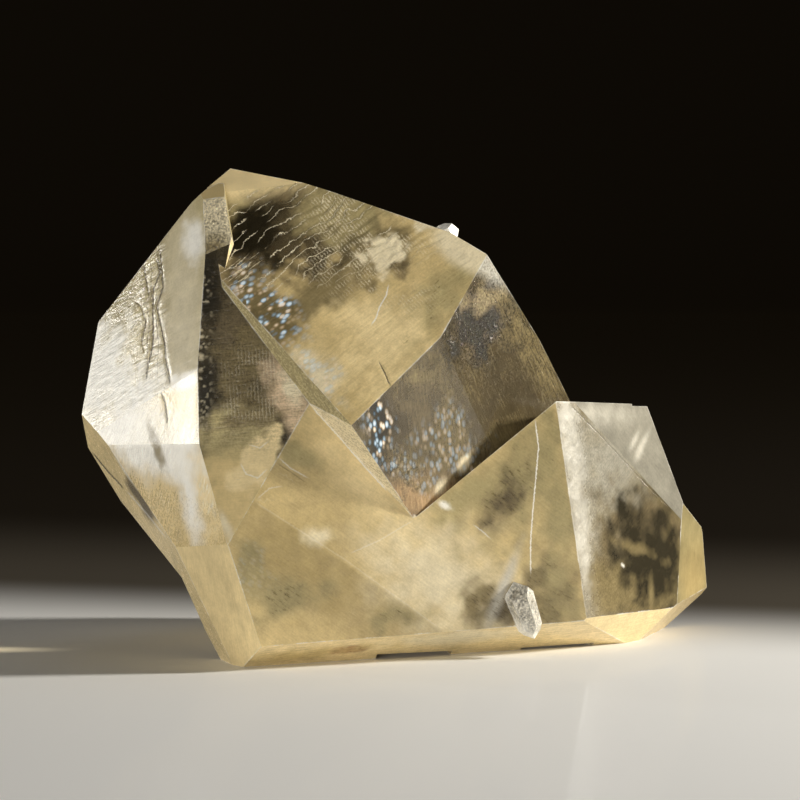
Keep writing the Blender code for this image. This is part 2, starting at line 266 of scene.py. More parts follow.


# Zones on the faces, with places and sizes in pixels of the photo. Besides the crystal's own milky and clear
# patches they hold painted light and shade: painted highlights, painted glow and painted shade.
# Middle, half sizes and turn, then the haze and bloom there, how torn the rim is and how soft.
# wisp: dark fibres. glint: pale fibres and painted glints. fleck: painted rainbow sparkle. noEdge: no
# painted edge highlight. frost, grain and streak take the place of the face's own
zones = {
    "growthFace": [
        zone((296, 226), (100, 50), -13, 0.5, "brown", 1.2, 0.35, glint=0.2),
        zone((340, 216), (50, 30), -28, 0.75, "olive", 1.2, 0.6),
        zone((238, 212), (13, 20), 10, 0.9, "olive", 0.3, 0.8),
        # painted shade, where the dark backdrop shows through
        zone((252, 240), (32, 34), 10, 0.45, "dark", 1.1, 0.5),
        zone((247, 270), (20, 14), 20, 0.55, "brown", 1.2, 0.6, glint=0.9),
        zone((332, 292), (54, 14), 32, 0.8, "umber", 1.6, 0.6, wisp=0.4),
        zone((366, 256), (44, 10), 34, 0.8, "umber", 1.6, 0.6, wisp=0.3, glint=0.3),
        zone((443, 296), (56, 20), 54, 0.85, "olive", 1.4, 0.7, wisp=0.65, glint=0.3),
        zone((391, 250), (30, 15), 38, 0.95, "pale", 2.2, 0.35, glint=0.75),
        zone((385, 340), (46, 40), 40, 0.95, "lightGold", 1.2, 0.9),
        zone((250, 184), (62, 14), 8, 0.95, "lightGold", 0.1, 0.8, noEdge=1),
        zone((464, 250), (36, 17), -34, 0.98, "pale", 0.12, 0.4, wisp=0),
        zone((266, 314), (44, 26), -46, 0.6, "umber", 0.9, 0.5, fleck=1),
        zone((318, 374), (24, 12), -48, 0.9, "pale", 1.4, 0.8, fleck=0.4),
    ],
    "crest": [zone((262, 192), (60, 7), -6, 0.95, "lightGold", 0.1, 0.8, noEdge=1)],
    "shoulder": [
        zone((214, 206), (20, 12), 0, 0.97, "pale", 0.6, 0.8, glint=0.7),
        zone((215, 252), (16, 16), 0, 0.9, "umber", 0.3, 0.8, glint=0.1),
    ],
    # On the dark face the dark zones paint shade, and the flesh and pale zones by its right side paint glow
    "darkFace": [
        zone((240, 500), (40, 76), 0, 0.94, "gold", 0.6, 0.3, wisp=0, glint=0.1),
        zone((232, 330), (26, 40), 25, 0.75, "brown", 1.1, 0.7),
        zone((252, 372), (36, 40), 10, 0.6, "umber", 1.5, 0.5, glint=0.45, wisp=0.4),
        zone((288, 400), (15, 40), 18, 0.88, "flesh", 1.2, 0.5, glint=0.3),
        zone((292, 390), (8, 14), 20, 1.0, "pale", 1.4, 0.8, glint=0.9),
        zone((232, 434), (38, 26), 0, 0.85, "olive", 1.0, 0.4, wisp=0.2, glint=0.2),
        zone((257, 462), (34, 15), 42, 0.95, "lightGold", 2.0, 0.35, glint=0.6),
        zone((250, 420), (34, 7), 10, 0.8, "umber", 1.8, 0.7, wisp=0.5),
        zone((209, 284), (11, 36), 0, 0.6, "dark", 0.8, 0.5, glint=0),
        zone((206, 396), (8, 34), 0, 0.7, "dark", 0.8, 0.6, glint=0, wisp=0),
        zone((226, 526), (5, 17), 25, 1.0, "pale", 1.0, 0.7),
    ],
    # On the milky face the pale and light gold zones paint glow over its milkiness
    "milkyFace": [
        zone((440, 580), (66, 44), -25, 0.86, "pale", 0.9, 0.95),
        zone((362, 468), (62, 26), -48, 0.95, "lightGold", 0.6, 0.9),
        zone((290, 560), (66, 40), -38, 0.75, "deepGold", 0.9, 0.6, glint=0.3),
        zone((286, 598), (44, 16), 10, 0.72, "olive", 1.8, 0.8, wisp=0.7, glint=0.3),
        zone((388, 620), (24, 10), 10, 0.72, "olive", 1.8, 0.8, wisp=0.7),
        zone((302, 458), (26, 10), -28, 0.8, "olive", 1.8, 0.6, wisp=0.5),
        zone((514, 486), (30, 52), -32, 0.7, "olive", 1.5, 0.9, wisp=0.6, glint=0.4),
        zone((505, 498), (14, 28), -30, 0.62, "brown", 1.8, 0.9, wisp=0.8, glint=0.35),
        zone((482, 600), (14, 24), -20, 0.7, "umber", 1.8, 0.8, wisp=0.75, glint=0.3),
        zone((508, 606), (14, 16), -20, 0.7, "brown", 1.6, 0.8, wisp=0.8, glint=0.3),
        zone((554, 594), (32, 28), 0, 0.68, "umber", 1.8, 0.8, wisp=0.75, glint=0.4),
        zone((554, 500), (20, 90), 6, 0.7, "olive", 1.6, 0.8, wisp=0.45, glint=0.3),
        zone((455, 500), (30, 12), 40, 0.85, "olive", 1.6, 0.7, wisp=0.5),
        zone((503, 588), (5, 36), -22, 0.9, "frosty", 0.4, 0.95),
        zone((251, 565), (16, 22), 10, 0.75, "olive", 1.8, 0.8, fleck=0.1, wisp=0.3),
        zone((321, 536), (13, 8), 10, 0.97, "pale", 1.4, 0.8),
        zone((444, 505), (6, 3), -30, 1.0, "white", 0.8, 0.7),
    ],
    "clearFace": [
        zone((412, 400), (50, 50), 0, 0.7, "umber", 1.2, 0.8),
        zone((436, 420), (60, 40), -20, 0.42, "brown", 1.4, 0.8, glint=0.25),
        zone((424, 496), (32, 22), 5, 0.85, "amber", 0.7, 0.9, wisp=0, glint=0.25),
        zone((378, 434), (16, 30), 10, 0.6, "dark", 1.2, 0.6, fleck=1, glint=0.2),
        zone((397, 468), (13, 24), 10, 0.75, "brown", 2.2, 0.7, wisp=0.7, grain=1.4),
        zone((448, 448), (30, 34), -30, 0.55, "umber", 1.6, 0.7, fleck=0.5, glint=0.55),
        zone((420, 420), (12, 34), 0, 0.7, "brown", 1.4, 0.7, wisp=0.3, glint=0.4),
        zone((441, 487), (5, 9), -28, 1.0, "pale", 0.9, 0.7),
        zone((464, 464), (4, 9), -28, 1.0, "pale", 1.2, 0.7),
        zone((503, 436), (24, 12), 38, 0.8, "umber", 0.8, 0.8, wisp=0.4),
        zone((530, 345), (17, 70), 28, 0.6, "umber", 1.4, 0.7, glint=0.5, wisp=0.4, streak=1.4),
        zone((480, 322), (30, 44), -20, 0.9, "dark", 1.4, 0.55, glint=0.3, wisp=0.3, grain=1.0),
        zone((482, 300), (20, 8), 20, 0.8, "umber", 2.2, 0.8, glint=0.3, wisp=0.5, grain=1.0),
        zone((487, 262), (30, 15), -38, 0.95, "silver", 0.2, 0.6, wisp=0, glint=0, frost=0.2),
    ],
    # The white zones on the left faces paint the highlight where the left card's reflection falls
    "leftUpper": [
        zone((184, 300), (21, 96), 0, 0.95, "beige", 0.5, 0.9, wisp=0, streak=0.5),
        zone((194, 244), (9, 18), 0, 1.0, "white", 1.2, 0.7, wisp=0),
        zone((188, 378), (14, 6), 15, 1.0, "white", 1.0, 0.6, frost=0.3),
        zone((98, 370), (24, 44), -12, 1.0, "white", 1.2, 0.5, frost=0.32, wisp=0),
        zone((134, 396), (34, 24), -20, 1.0, "white", 1.4, 0.6, frost=0.3, wisp=0.1),
    ],
    "leftMiddle": [
        zone((108, 420), (52, 40), -20, 1.0, "white", 0.5, 0.8, frost=0.3, wisp=0),
        zone((154, 440), (4, 18), 22, 0.85, "umber", 1.4, 0.5, wisp=0.6),
        zone((184, 404), (18, 18), 0, 0.95, "lightGold", 1.2, 0.6, glint=0.5, wisp=0.2),
        zone((186, 382), (15, 8), 15, 1.0, "white", 1.0, 0.4),
    ],
    "leftLower": [
        zone((150, 448), (62, 26), -24, 1.0, "white", 0.9, 0.6, wisp=0, frost=0.3),
        zone((157, 450), (4, 20), 22, 0.85, "umber", 1.4, 0.5, wisp=0.6),
        zone((186, 456), (15, 30), 0, 1.0, "white", 1.0, 0.6, wisp=0, frost=0.3),
        zone((206, 496), (11, 32), 12, 0.97, "lightGold", 1.0, 0.8, fleck=0.15, glint=0.9, grain=0.6),
        zone((188, 500), (8, 34), 12, 1.0, "white", 0.9, 0.9),
        zone((158, 506), (20, 22), 30, 0.9, "gold", 1.6, 0.8, glint=0.7, wisp=0.5),
    ],
    "leftUndercut": [
        zone((142, 500), (26, 6), -56, 0.8, "brown", 1.0, 0.5, wisp=0.3),
        zone((128, 472), (22, 2.5), -56, 1.0, "white", 0.5, 0.6),
    ],
    "blockFace": [
        zone((569, 430), (10, 60), 6, 0.97, "frosty", 1.0, 0.8, frost=0.3),
        zone((580, 520), (11, 90), 6, 0.95, "frosty", 1.0, 0.9, frost=0.3),
        zone((608, 466), (36, 62), 6, 0.88, "silver", 0.8, 0.9),
        zone((640, 524), (38, 32), 0, 0.88, "brown", 1.6, 0.8, wisp=0.5),
        zone((645, 554), (31, 54), 8, 0.94, "dark", 1.6, 0.6, wisp=0.3, glint=0.12),
        zone((664, 556), (14, 46), 0, 0.97, "dark", 1.4, 0.5),
        zone((634, 584), (18, 18), 0, 0.97, "dark", 1.4, 0.5),
        zone((636, 549), (22, 4), -22, 0.75, "umber", 2.2, 0.9, glint=0.4),
        zone((600, 592), (26, 22), 0, 0.85, "umber", 1.6, 0.7, wisp=0.5, glint=0.3),
        zone((623, 565), (1.6, 1.6), 0, 1.0, "white", 0.3, 0.3),
        zone((651, 597), (2, 15), 0, 0.85, "umber", 0.8, 0.9),
    ],
    "blockUpper": [
        zone((604, 414), (44, 12), -2, 0.9, "frosty", 0.8, 0.9),
        zone((640, 440), (34, 30), 0, 0.8, "silver", 0.8, 0.9),
        zone((662, 490), (12, 20), 20, 0.75, "silver", 1.4, 0.8, wisp=0.5),
        zone((642, 446), (2.5, 14), -24, 0.98, "frosty", 0.8, 0.9),
        zone((634, 441), (2, 9), -24, 0.98, "frosty", 0.8, 0.9),
    ],
    "endFace": [
        zone((694, 536), (9, 12), 0, 0.85, "olive", 1.2, 0.8, wisp=0.3),
        zone((694, 580), (12, 30), 0, 0.8, "deepGold", 0.3, 0.9),
    ],
    "frontUndercut": [
        zone((352, 650), (24, 3), 6, 0.95, "rust", 1.8, 0.4, wisp=0.7),
        # a painted glint line along the top of the undercut
        zone((450, 638), (60, 5), 5, 1.0, "pale", 1.2, 0.8, glint=0.6),
        zone((300, 655), (60, 5), 6, 0.95, "deepGold", 1.2, 0.8),
    ],
    "small": [zone((524, 606), (14, 24), 20, 0.92, "frosty", 2.2, 0.6, wisp=0.75, grain=2.2)],
}

zones["clearUpper"] = zones["clearFace"]

# Straight folds of painted light and shade inside a face, standing in for reflections within the crystal.
# In photo pixels: both ends, then tone and reach of the lower side
lightFolds = {
    "milkyFace": [
        ((244, 492), (446, 632), 0.80, 110),
        ((272, 453), (314, 482), 0.88, 26),
        ((414, 519), (345, 556), 1.07, 60),
        ((470, 474), (556, 405), 0.9, 60),
    ],
    "growthFace": [((380, 232), (300, 300), 1.06, 90)],
    "darkFace": [((198, 409), (224, 412), 1.25, 60)],
    "clearFace": [((386, 394), (470, 330), 1.12, 50)],
    "leftFoot": [((214, 520), (240, 610), 0.9, 30)],
    "endFace": [((676, 535), (708, 560), 0.9, 30)],
}

# Dark fissures, and pale lines that are partly healed cracks and partly painted glints and reflections:
# how strong, then the course in photo pixels
darkCracks = {
    "leftUpper": [
        (1, [(156, 256), (160, 272), (153, 290), (153, 308), (153, 330), (153, 346), (148, 364),
             (146, 381)]),
        (1, [(160, 248), (163, 287), (157, 306), (165, 345), (166, 361), (169, 374), (170, 386)]),
        (0.8, [(143, 262), (147, 284), (150, 300)]),
        (0.7, [(133, 300), (141, 306), (146, 322), (142, 340), (144, 356)]),
    ],
    "leftMiddle": [(0.9, [(158, 384), (161, 392), (165, 402), (168, 425)])],
    "growthFace": [(1, [(378, 360), (386, 376), (391, 388)])],
    "leftUndercut": [(1, [(91, 451), (108, 472), (125, 490)])],
    "blockFace": [(0.4, [(569, 404), (602, 437), (640, 478), (670, 508)])],
    "milkyFace": [(0.35, [(276, 462), (288, 470), (308, 484)])],
}
paleCracksAndGlints = {
    "growthFace": [(1, [(389, 283), (386, 296), (380, 306), (376, 318), (370, 327)])],
    "milkyFace": [
        (1, [(535, 419), (538.6, 447), (536, 476), (533, 509), (530.6, 541), (530.6, 575)]),
        (0.6, [(278, 457), (290, 468), (310, 479)]),
        (0.16, [(255, 502), (299, 530), (347, 561), (439, 628)]),
        (0.3, [(414, 520), (380, 540), (349, 554)]),
        (1, [(311, 406), (340, 438), (366, 468), (388, 492)]),
        (0.7, [(472, 524), (482, 531), (492, 540)]),
        (0.4, [(256, 500), (270, 488), (284, 486)]),
    ],
    "darkFace": [
        (0.6, [(240, 462), (246, 474), (258, 478), (268, 468)]),
        (0.5, [(247, 444), (260, 448), (270, 440)]),
    ],
    "shoulder": [(0.8, [(204, 255), (210, 266), (214, 276)])],
    "leftUndercut": [(0.6, [(126, 490), (147, 514), (167, 539)])],
}
lineFade = 7  # pixels over which a crack or glint line thins out at its ends


def photoPlace(spots):
    # where points, in mm, show in the photo, in its pixels
    lift = radians(cameraView["elevation"])
    away = spots - np.array(cameraView["target"])
    depth = 1 + (away[:, 1] * cos(lift) - away[:, 2] * sin(lift)) / cameraView["distance"]
    across = away[:, 0] / depth / pixelSize
    up = (away[:, 1] * sin(lift) + away[:, 2] * cos(lift)) / depth / pixelSize
    return photoWidth / 2 + across, photoWidth / 2 - up


def smooth(values, low, high):
    x = np.clip((values - low) / (high - low), 0, 1)
    return x * x * (3 - 2 * x)


def stretchOf(values, rise, fall):
    # fades in over the first span and out again over the second
    return smooth(values, *rise) * (1 - smooth(values, *fall))


latticeKeys = (73856093, 19349663, 83492791, 1274126177)
noiseShift = {"seed": 17.13, "octave": 5.7}
noiseSpread = 1.6
farAway = 99.0
tiny = 1e-9


def latticeNoise(points):
    cell = np.floor(points).astype(np.int64)
    part = points - cell
    part = part * part * (3 - 2 * part)
    total = np.zeros(len(points))
    for corner in product((0, 1), repeat=3):
        x, y, z = (cell + corner).T
        scrambled = (x * latticeKeys[0]) ^ (y * latticeKeys[1]) ^ (z * latticeKeys[2])
        scrambled = ((scrambled ^ (scrambled >> 13)) * latticeKeys[3]) & 0x7FFFFFFF
        value = ((scrambled ^ (scrambled >> 16)) & 0xFFFF) / 0xFFFF
        total += value * np.prod(np.where(corner, part, 1 - part), axis=1)
    return total


def clouds(points, size, octaves=3, seed=0):
    # soft noise from 0 to 1 whose largest lumps are size mm
    total, weight, weights = 0, 1.0, 0
    for octave in range(octaves):
        shift = noiseShift["seed"] * seed + noiseShift["octave"] * octave
        total = total + weight * latticeNoise(points * 2**octave / size + shift)
        weights += weight
        weight *= 0.5
    return np.clip(0.5 + noiseSpread * (total / weights - 0.5), 0, 1)


def distanceTo(points, lines):
    # from each point to the nearest stretch of the lines, in the same units
    best = np.full(len(points), farAway)
    for line in lines:
        for start, end in zip(line, line[1:]):
            start, run = np.array(start, float), np.array(end, float) - np.array(start, float)
            share = np.clip((points - start) @ run / max(run @ run, tiny), 0, 1)
            best = np.minimum(best, np.linalg.norm(points - start - share[:, None] * run, axis=1))
    return best


def lineAt(points, lines):
    # signed distance to the nearest crack or painted glint line in mm, and how much of that line there is
    best, signed, there = (np.full(len(points), fill) for fill in (farAway, farAway, 0.0))
    for strength, line in lines:
        spots = np.array(line, float)
        lengths = np.hypot(*(spots[1:] - spots[:-1]).T)
        travelled = np.concatenate([[0], np.cumsum(lengths)])
        for start, run, length, before in zip(spots, spots[1:] - spots[:-1], lengths, travelled):
            away = points - start
            share = np.clip(away @ run / length**2, 0, 1)
            gap = np.linalg.norm(away - share[:, None] * run, axis=1)
            nearer = gap < best
            side = np.sign(run[0] * away[:, 1] - run[1] * away[:, 0] + tiny)
            along = before + share * length
            ends = strength * smooth(np.minimum(along, travelled[-1] - along), 0, lineFade)
            best = np.where(nearer, gap, best)
            signed = np.where(nearer, gap * side, signed)
            there = np.where(nearer, ends, there)
    return signed * pixelSize, there * (1 - smooth(best, lineFade, 2 * lineFade))


def turned(s, t, angle):
    a = radians(angle)
    return s * cos(a) + t * sin(a), t * cos(a) - s * sin(a)


def wavering(spots, waves):
    # how far lines stray sideways, in mm: size, reach and seed of each wave
    return sum(reach * (clouds(spots, size, 2, seed) - 0.5) for size, reach, seed in waves)


def blendZone(fields, share, haze, bloom):
    fields["haze"] += share * (haze - fields["haze"])
    fields["bloom"] += share[:, None] * (np.array(blooms[bloom]) - fields["bloom"])


# Each of these dictionaries holds sizes and reliefs in mm, and spans over which a mark comes or goes:
# in photo pixels where it names a side or an end, and otherwise in shares of a step or of a noise
growthMarks = {
    "waves": ((5, 1.5, 3), (1.3, 0.7, 4)), "spacing": 1.2, "rise": (0.55, 1.4), "drop": (0.42, 0.55),
    "relief": 0.08, "seed": 5, "patchSize": 6, "patches": (0.3, 0.6), "tornSize": 2.4, "torn": (0.3, 0.5),
    "leastSteps": 0.3, "threadsEnd": (285, 345), "threadsFrom": 230, "threadsSlope": 0.35,
    "hatchLeft": (285, 330), "hatchRight": (400, 450), "hatchEnd": (250, 300), "hatchFrom": 300,
    "hatchSlope": 0.3, "hatchSize": 2.6, "hatchTorn": (0.35, 0.6), "hatchGap": (0.05, 0.3), "hatching": 0.9,
}


def addTerraces(fields, spots, across, marks, steps=1.0, threads=1.0):
    # ragged terraces: a slow rise, then a short drop whose lip carries a painted highlight line
    fields["phase"] = (across + wavering(spots, marks["waves"])) / marks["spacing"]
    saw = fields["phase"] % 1
    terrace = smooth(saw, *marks["rise"]) + 1 - smooth(saw, *marks["drop"])
    present = smooth(clouds(spots, marks["patchSize"], 2, marks["seed"]), *marks["patches"]) * steps
    fields["height"] += marks["relief"] * present * terrace
    torn = clouds(spots, marks["tornSize"], 3, marks["seed"] + 1)
    fields["threads"] = threads * smooth(torn, *marks["torn"])


def growthSteps(fields, spots, along, across):
    marks = growthMarks
    px, py = fields["px"], fields["py"]
    upper = 1 - smooth(py + marks["threadsSlope"] * (px - marks["threadsFrom"]), *marks["threadsEnd"])
    addTerraces(fields, spots, across, marks, marks["leastSteps"] + (1 - marks["leastSteps"]) * upper, upper)
    below = smooth(py - marks["hatchSlope"] * (px - marks["hatchFrom"]), *marks["hatchEnd"])
    hatched = stretchOf(px, marks["hatchLeft"], marks["hatchRight"]) * (1 - below)
    hatched *= smooth(clouds(spots, marks["hatchSize"], 3, 7), *marks["hatchTorn"])
    gap = smooth(np.abs(fields["phase"] % 1 - 0.5), *marks["hatchGap"])
    fields["hatch"] = marks["hatching"] * hatched * gap


wrinkleMarks = {
    "longer": 4, "size": 0.9, "rightEnd": (158, 176), "lean": 0.05, "leanFrom": 300,
    "bandLeft": (128, 145), "bandRight": (160, 170), "bandBottom": (350, 390), "relief": 0.03,
    "bandRelief": 0.035, "leastStreak": 0.25, "bandStreak": 0.6, "leastGrain": 0.3, "bandGlint": 0.25,
    "bandWisp": 0.5,
}


def wrinkles(fields, spots, along, across):
    # fine folds of the left faces, strongest in the band beside their fissures
    marks = wrinkleMarks
    px, py = fields["px"], fields["py"]
    drawnOut = np.stack([along / marks["longer"], across, np.zeros(len(along))], axis=1)
    creases = np.abs(clouds(drawnOut, marks["size"], 3, 8) - 0.5) * 2
    left = 1 - smooth(px - marks["lean"] * (py - marks["leanFrom"]), *marks["rightEnd"])
    band = stretchOf(px, marks["bandLeft"], marks["bandRight"]) * (1 - smooth(py, *marks["bandBottom"]))
    fields["height"] += (marks["relief"] * left + marks["bandRelief"] * band) * creases
    fields["streak"] *= (marks["leastStreak"] + (1 - marks["leastStreak"]) * left
                         + marks["bandStreak"] * band)
    fields["grain"] *= marks["leastGrain"] + (1 - marks["leastGrain"]) * left
    fields["glint"] += marks["bandGlint"] * band
    fields["wisp"] += marks["bandWisp"] * band


pebbleMarks = {"rightEnd": (574, 622), "lean": 0.15, "leanFrom": 400, "size": 0.9, "relief": 0.06,
               "grain": 0.25}
gritMarks = {"size": 0.6, "relief": 0.08}


def pebbles(fields, spots, along, across):
    # the furry strip down the left side of the block
    marks = pebbleMarks
    left = 1 - smooth(fields["px"] - marks["lean"] * (fields["py"] - marks["leanFrom"]), *marks["rightEnd"])
    fields["height"] += marks["relief"] * left * clouds(spots, marks["size"], 3, 10)
    fields["grain"] += marks["grain"] * left


def grit(fields, spots, along, across):
    fields["height"] += gritMarks["relief"] * clouds(spots, gritMarks["size"], 2, 11)


ridgeMarks = {
    "rightEnd": (204, 216), "top": (262, 280), "bottom": (380, 460), "size": 0.45, "specks": (0.62, 0.74),
    "strength": 0.7, "haze": 0.95, "calmTop": (425, 465), "calm": 0.8,
    "hatchTop": (335, 365), "hatchBottom": (410, 425), "hatchLeft": (215, 235), "hatchRight": (270, 285),
    "hatchSize": 1.6, "hatchTorn": (0.35, 0.65), "hatching": 0.5,
}


def ridgeGlints(fields, spots, along, across):
    # painted glints as bright specks down the ridge, fine hatching beside them and a calm lower part
    marks = ridgeMarks
    px, py = fields["px"], fields["py"]
    near = (1 - smooth(px, *marks["rightEnd"])) * stretchOf(py, marks["top"], marks["bottom"])
    speck = marks["strength"] * near * smooth(clouds(spots, marks["size"], 2, 12), *marks["specks"])
    blendZone(fields, speck, marks["haze"], "pale")
    kept = 1 - marks["calm"] * smooth(py, *marks["calmTop"])
    fields["streak"] *= kept
    fields["grain"] *= kept
    band = stretchOf(py, marks["hatchTop"], marks["hatchBottom"])
    band *= stretchOf(px, marks["hatchLeft"], marks["hatchRight"])
    torn = smooth(clouds(spots, marks["hatchSize"], 3, 13), *marks["hatchTorn"])
    fields["hatch"] = marks["hatching"] * band * torn


streakMarks = {"top": (360, 420), "glint": 0.25, "grain": 0.3}


def steepStreaks(fields, spots, along, across):
    # painted glints as pale streaks low on the clear faces, and grain above them
    lower = smooth(fields["py"], *streakMarks["top"])
    fields["glint"] = np.maximum(fields["glint"], streakMarks["glint"] * lower)
    fields["grain"] += streakMarks["grain"] * (1 - lower)


backMarks = {
    "waves": ((9, 3, 16), (2, 0.8, 17)), "spacing": 2.6, "rise": (0.55, 1.5), "drop": (0.35, 0.55),
    "relief": 0.12, "seed": 18, "patchSize": 12, "patches": (0.35, 0.6), "tornSize": 5, "torn": (0.5, 0.7),
    "veils": [
        {"size": 14, "seed": 20, "span": (0.45, 0.7), "strength": 1.0, "haze": 0.75, "bloom": "gold"},
        {"size": 9, "seed": 21, "span": (0.62, 0.8), "strength": 0.8, "haze": 0.85, "bloom": "pale"},
    ],
}


def backGrowth(fields, spots, along, across):
    # broad growth steps and clouded patches on the faces that the photo hides
    addTerraces(fields, spots, across, backMarks)
    for veil in backMarks["veils"]:
        share = veil["strength"] * smooth(clouds(spots, veil["size"], 3, veil["seed"]), *veil["span"])
        blendZone(fields, share, veil["haze"], veil["bloom"])


faceWork = {
    "growthFace": growthSteps, "leftUpper": wrinkles, "leftMiddle": wrinkles, "leftLower": wrinkles,
    "blockFace": pebbles, "shoulder": grit, "darkFace": ridgeGlints, "clearFace": steepStreaks,
    "clearUpper": steepStreaks, "hidden": backGrowth, "leftBrow": backGrowth, "crestLeft": backGrowth,
}


# What all faces share: sizes, gaps and depths in mm, spans of noise, and the fades of a painted light fold
# in pixels
everyFace = {
    "level": 0.05, "wornSize": 2.5, "worn": (0.25, 0.6), "wornGap": 0.1, "striaLonger": 5, "striaSize": 0.8,
    "toneSize": 7, "darkest": 0.86, "toneRange": 0.28, "ragSize": 2.2, "edgeHidden": 5,
    "foldLine": (0, 2.5), "foldHold": 0.3, "foldStart": (-12, 8), "foldEnd": (-8, 12),
    "crackDepth": 0.04, "crackSide": (0.05, 0.4), "calmRim": (0, 0.5),
}


def addZone(fields, patch, share):
    blendZone(fields, share, patch["haze"], patch["bloom"])
    for key, amount in patch["more"].items():
        if key == "noEdge":
            fields["edgeAway"] += everyFace["edgeHidden"] * share
        else:
            fields[key] += share * (amount - fields[key])


# painted light and shade: one side of a straight line in the face is painted lighter or darker
def paintLightFold(fields, start, end, tone, reach):
    seen = np.stack([fields["px"], fields["py"]], axis=1)
    start, run = np.array(start, float), np.subtract(end, start).astype(float)
    length = np.hypot(*run)
    below = ((seen - start) @ (-run[1], run[0])) / length * np.sign(run[0])
    passed = ((seen - start) @ run) / length
    share = stretchOf(below, everyFace["foldLine"], (everyFace["foldHold"] * reach, reach))
    share *= smooth(passed, *everyFace["foldStart"]) * (1 - smooth(passed - length, *everyFace["foldEnd"]))
    fields["bloom"] *= (1 + share * (tone - 1))[:, None]


def faceFields(name, spots, normal, outline, wornEdges):
    # everything that the finish of one face needs, at each of its points
    look = crystalFaces[name]
    side = np.cross((0, 0, 1), normal)
    width = np.linalg.norm(side)
    side = side / width if width > everyFace["level"] else np.array((1.0, 0, 0))
    along, across = turned(spots @ side, spots @ np.cross(normal, side), look["turn"])
    count = len(spots)
    px, py = photoPlace(spots)
    fields = {"px": px, "py": py, "along": along, "across": across}
    for key in ("haze", "frost", "grain", "streak", "wisp", "glint"):
        fields[key] = np.full(count, float(look[key]))
    for key in ("phase", "threads", "hatch", "fleck", "height"):
        fields[key] = np.zeros(count)
    # the bright line along the sharp edges: partly worn edges, partly a painted highlight, broken into
    # patches
    worn = smooth(clouds(spots, everyFace["wornSize"], 3, 60), *everyFace["worn"])
    fields["edgeAway"] = distanceTo(spots, wornEdges) + everyFace["wornGap"] * (1 - worn)
    drawnOut = [along / everyFace["striaLonger"], across, np.full(count, faceNames.index(name))]
    fields["height"] += look["relief"] * clouds(np.stack(drawnOut, axis=1), everyFace["striaSize"], 3, 1)
    tone = everyFace["darkest"] + everyFace["toneRange"] * clouds(spots, everyFace["toneSize"], 4, 2)
    fields["bloom"] = np.array(blooms[look["bloom"]], float) * tone[:, None]
    for index, patch in enumerate(zones.get(name, [])):
        x, y = turned(px - patch["at"][0], py - patch["at"][1], -patch["turn"])
        reach = np.hypot(x / patch["half"][0], y / patch["half"][1])
        reach += patch["ragged"] * (clouds(spots, everyFace["ragSize"], 4, 30 + index) - 0.5)
        addZone(fields, patch, 1 - smooth(reach, 1 - patch["soft"], 1 + patch["soft"]))
    for fold in lightFolds.get(name, []):
        paintLightFold(fields, *fold)
    if name in faceWork:
        faceWork[name](fields, spots, along, across)
    seen = np.stack([px, py], axis=1)
    fields["darkAway"], fields["darkThere"] = lineAt(seen, darkCracks.get(name, []))
    fields["whiteAway"], fields["whiteThere"] = lineAt(seen, paleCracksAndGlints.get(name, []))
    sides = smooth(np.abs(fields["darkAway"]), *everyFace["crackSide"])
    fields["height"] -= everyFace["crackDepth"] * fields["darkThere"] * (1 - sides)
    fields["height"] *= smooth(distanceTo(spots, outline), *everyFace["calmRim"])
    return fields


# The shader: one clear golden calcite whose scattering, colour and polish follow the faces' marks.
# Repeats per mm, detail and roughness of its noises
shaderNoises = {"fine": (3.4, 4, 0.6), "cloud": (0.45, 5, 0.6), "strand": (1.0, 4, 0.6),
                "fibre": (1.0, 8, 0.68)}
# How often they repeat along and across the striae
drawnOut = {"strand": (0.45, 4.2, 1), "fibre": (0.7, 2.3, 1), "speck": (1.0, 1.7, 1)}
# wisp tints the dark fibres. bright is the painted highlight of terrace lips and glints, and the hatching's
# colour. pale is the painted highlight of edges and glint lines, and the colour of healed cracks. dark
# colours fissures
markColours = {"wisp": (0.45, 0.38, 0.26), "bright": (0.95, 0.84, 0.58), "pale": (0.97, 0.94, 0.85),
               "dark": (0.10, 0.08, 0.045)}
# Widths and wander of the lines in mm. The bars: where they start, how far more fibres lower them, softness
shaderMarks = {
    "swing": 1.8, "grain": 1.4, "streak": 1.5, "cloud": 0.3, "stir": 0.5, "wispClears": 0.4,
    "fibreBar": (0.74, 0.36, 0.24), "glintBar": (0.82, 0.34, 0.1), "glinting": 0.85,
    "threadWander": 0.35, "threadWidth": 0.085, "hatchWaves": 6.283 / 0.45, "hatchWander": 6.0,
    "hatchSpan": (0.1, 0.9), "hatching": 0.8,
    "lineWander": 0.18, "edgeWidth": 0.15, "edgePatches": (0.35, 0.65, 0.25, 0.8),
    "whiteLine": (0.02, 0.15, 0.9, 0.0), "darkLine": (0.03, 0.15, 0.9, 0.0),
    "speckSplit": 0.45, "speckWarm": 0.09, "speckCool": 0.49, "speckColour": 1.1,
    "speckCore": (0.25, 0.68, 1.0, 0.0), "speckShare": (0.25, 0.5),
    "toneMarks": 0.55, "toneCloud": 0.8, "toneWisp": 0.8, "roughScatter": 0.08, "roughFine": 0.06,
    "bumpGrain": 0.06, "bumpStrand": 0.04, "bumpBright": 0.03, "bumpDark": 0.06,
}


